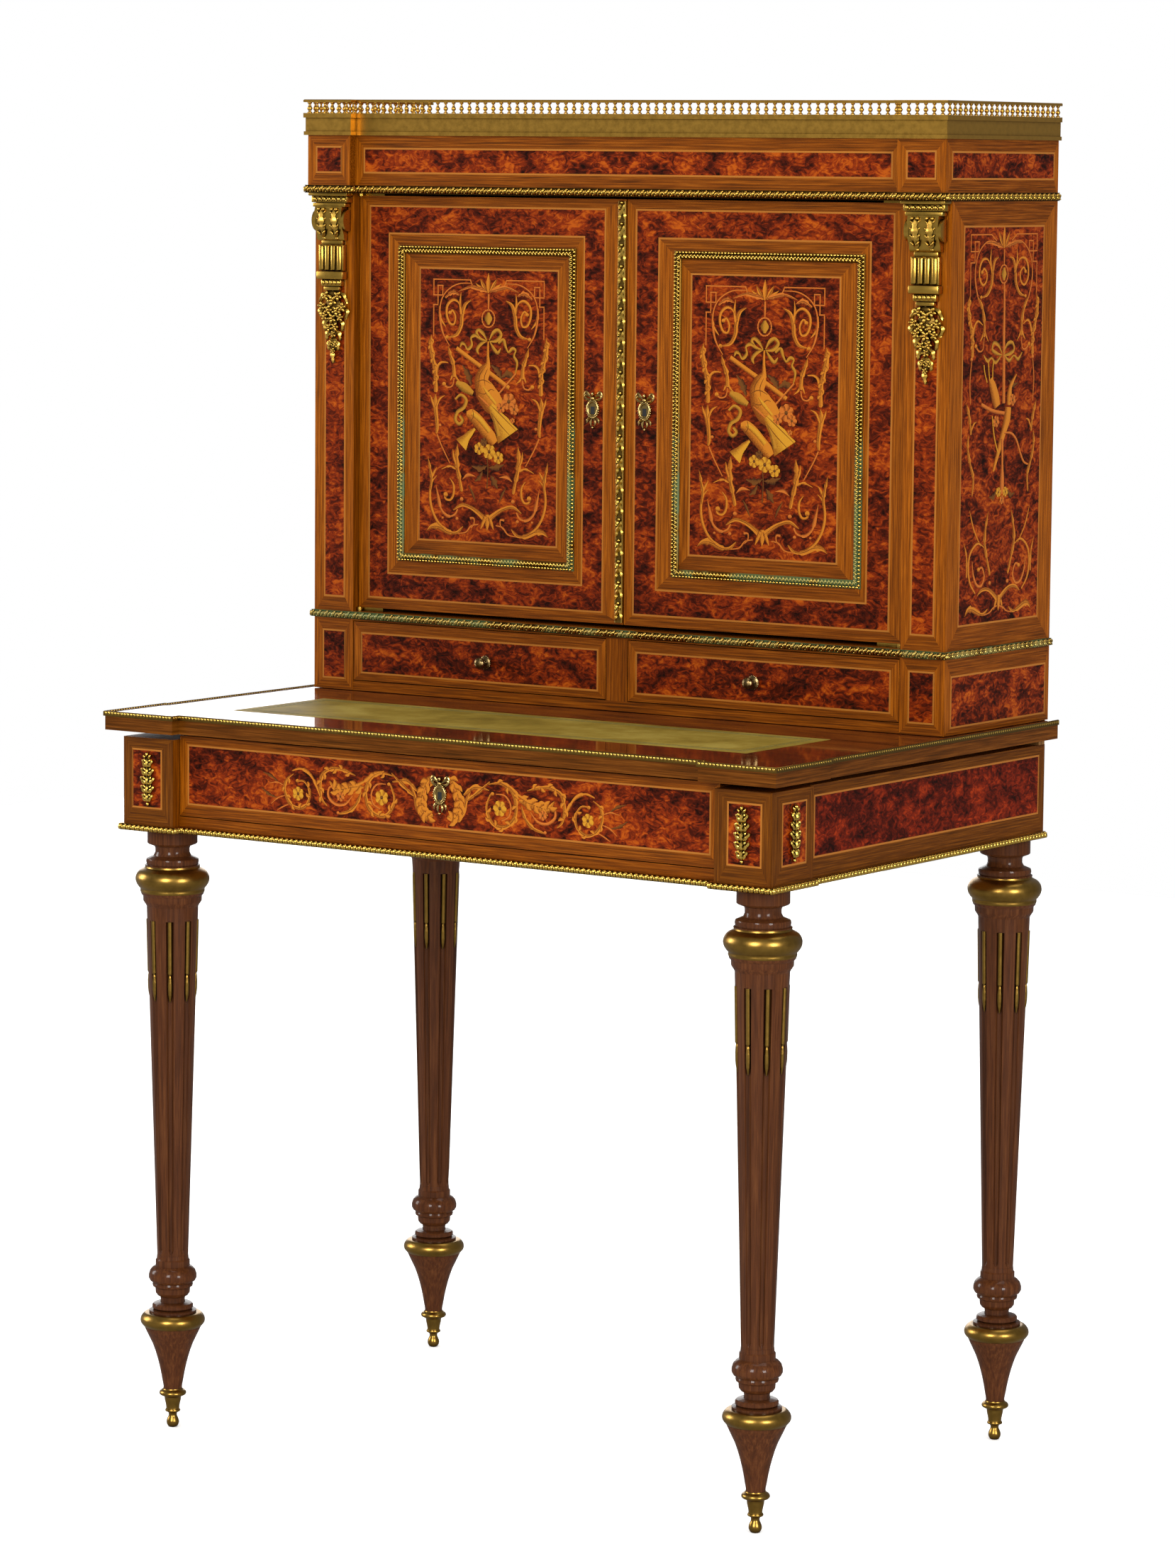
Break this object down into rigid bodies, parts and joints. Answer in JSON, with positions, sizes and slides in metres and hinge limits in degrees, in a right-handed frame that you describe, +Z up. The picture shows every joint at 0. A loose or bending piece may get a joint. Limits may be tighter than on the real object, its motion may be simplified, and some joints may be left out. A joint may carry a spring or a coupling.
{
  "type": "bonheur-du-jour",
  "caption": "Small antique writing desk with a sliding leather-lined top, drawers, a doored upper cabinet, a brass gallery and turned, fluted legs.",
  "frame": {"origin": "on the floor under the middle of the desk's bounding box, which runs from the front of the writing top's ears to the back of the rear legs' collars", "axes": "+Z up, +Y from the front of the desk to its back, +X to the right of someone who faces its front"},
  "size_m": [0.828, 0.5634, 1.4],
  "materials": {
    "veneer": "french-polished straight-grained veneer",
    "burr": "french-polished burr veneer with light stringing",
    "turned_wood": "french-polished turned and fluted wood",
    "oak": "dry unpolished carcase wood",
    "gilt_brass": "worn gilt brass with green tarnish",
    "leather": "worn olive leather with a tooled border",
    "lock_steel": "dull dark lock steel"
  },
  "bodies": {
    "carcase": {"leg_front_left": "turned_wood", "leg_front_right": "turned_wood", "leg_rear_left": "turned_wood", "leg_rear_right": "turned_wood", "leg_mounts": "gilt_brass", "foot_rings": "gilt_brass", "sabots": "gilt_brass", "corner_block_left": "burr", "corner_block_right": "burr", "side_apron_left": "burr", "side_apron_right": "burr", "lower_back_rail": "oak", "bottom_rail": "veneer", "dust_board": "oak", "top_runners": "oak", "base_moulding": "gilt_brass", "block_mounts": "gilt_brass", "case_side_left": "veneer", "case_side_right": "veneer", "case_top": "veneer", "case_floor": "veneer", "case_bottom": "veneer", "drawer_partitions": "veneer", "back_panel": "oak", "pilaster_left": "veneer", "pilaster_right": "veneer", "frieze": "burr", "cabinet_shelf": "veneer", "gallery_base": "gilt_brass", "gallery": "gilt_brass", "frieze_moulding": "gilt_brass", "waist_moulding": "gilt_brass", "corbel_left": "gilt_brass", "corbel_right": "gilt_brass", "case_hinge_plates": "gilt_brass"},
    "left_door": {"left_door": "burr", "left_door_mounts": "gilt_brass", "left_door_hinge_plates": "gilt_brass", "astragal": "gilt_brass"},
    "right_door": {"right_door": "burr", "right_door_mounts": "gilt_brass", "right_door_hinge_plates": "gilt_brass", "door_lock": "lock_steel"},
    "writing_top": {"writing_top": "burr", "top_leather": "leather", "top_rim": "gilt_brass", "top_guides": "oak"},
    "frieze_drawer": {"frieze_drawer_front": "burr", "frieze_drawer_box": "oak", "frieze_drawer_bottom": "oak", "frieze_escutcheon": "gilt_brass", "frieze_lock": "lock_steel"},
    "left_small_drawer": {"left_drawer_front": "burr", "left_drawer_box": "oak", "left_drawer_bottom": "oak", "left_drawer_knob": "gilt_brass"},
    "right_small_drawer": {"right_drawer_front": "burr", "right_drawer_box": "oak", "right_drawer_bottom": "oak", "right_drawer_knob": "gilt_brass"}
  },
  "joints": [
    {"name": "left_door_hinge", "type": "hinge", "parent": "carcase", "child": "left_door", "pos_m": [-0.3412, 0.06525, 1.076], "axis": [0, 0, -1], "range_deg": [0, 100]},
    {"name": "right_door_hinge", "type": "hinge", "parent": "carcase", "child": "right_door", "pos_m": [0.3412, 0.06525, 1.076], "axis": [0, 0, 1], "range_deg": [0, 100]},
    {"name": "writing_top_slide", "type": "slide", "parent": "carcase", "child": "writing_top", "axis": [0, -1, 0], "range_m": [0, 0.16]},
    {"name": "frieze_drawer_slide", "type": "slide", "parent": "carcase", "child": "frieze_drawer", "axis": [0, -1, 0], "range_m": [0, 0.33]},
    {"name": "left_small_drawer_slide", "type": "slide", "parent": "carcase", "child": "left_small_drawer", "axis": [0, -1, 0], "range_m": [0, 0.15]},
    {"name": "right_small_drawer_slide", "type": "slide", "parent": "carcase", "child": "right_small_drawer", "axis": [0, -1, 0], "range_m": [0, 0.15]}
  ]
}
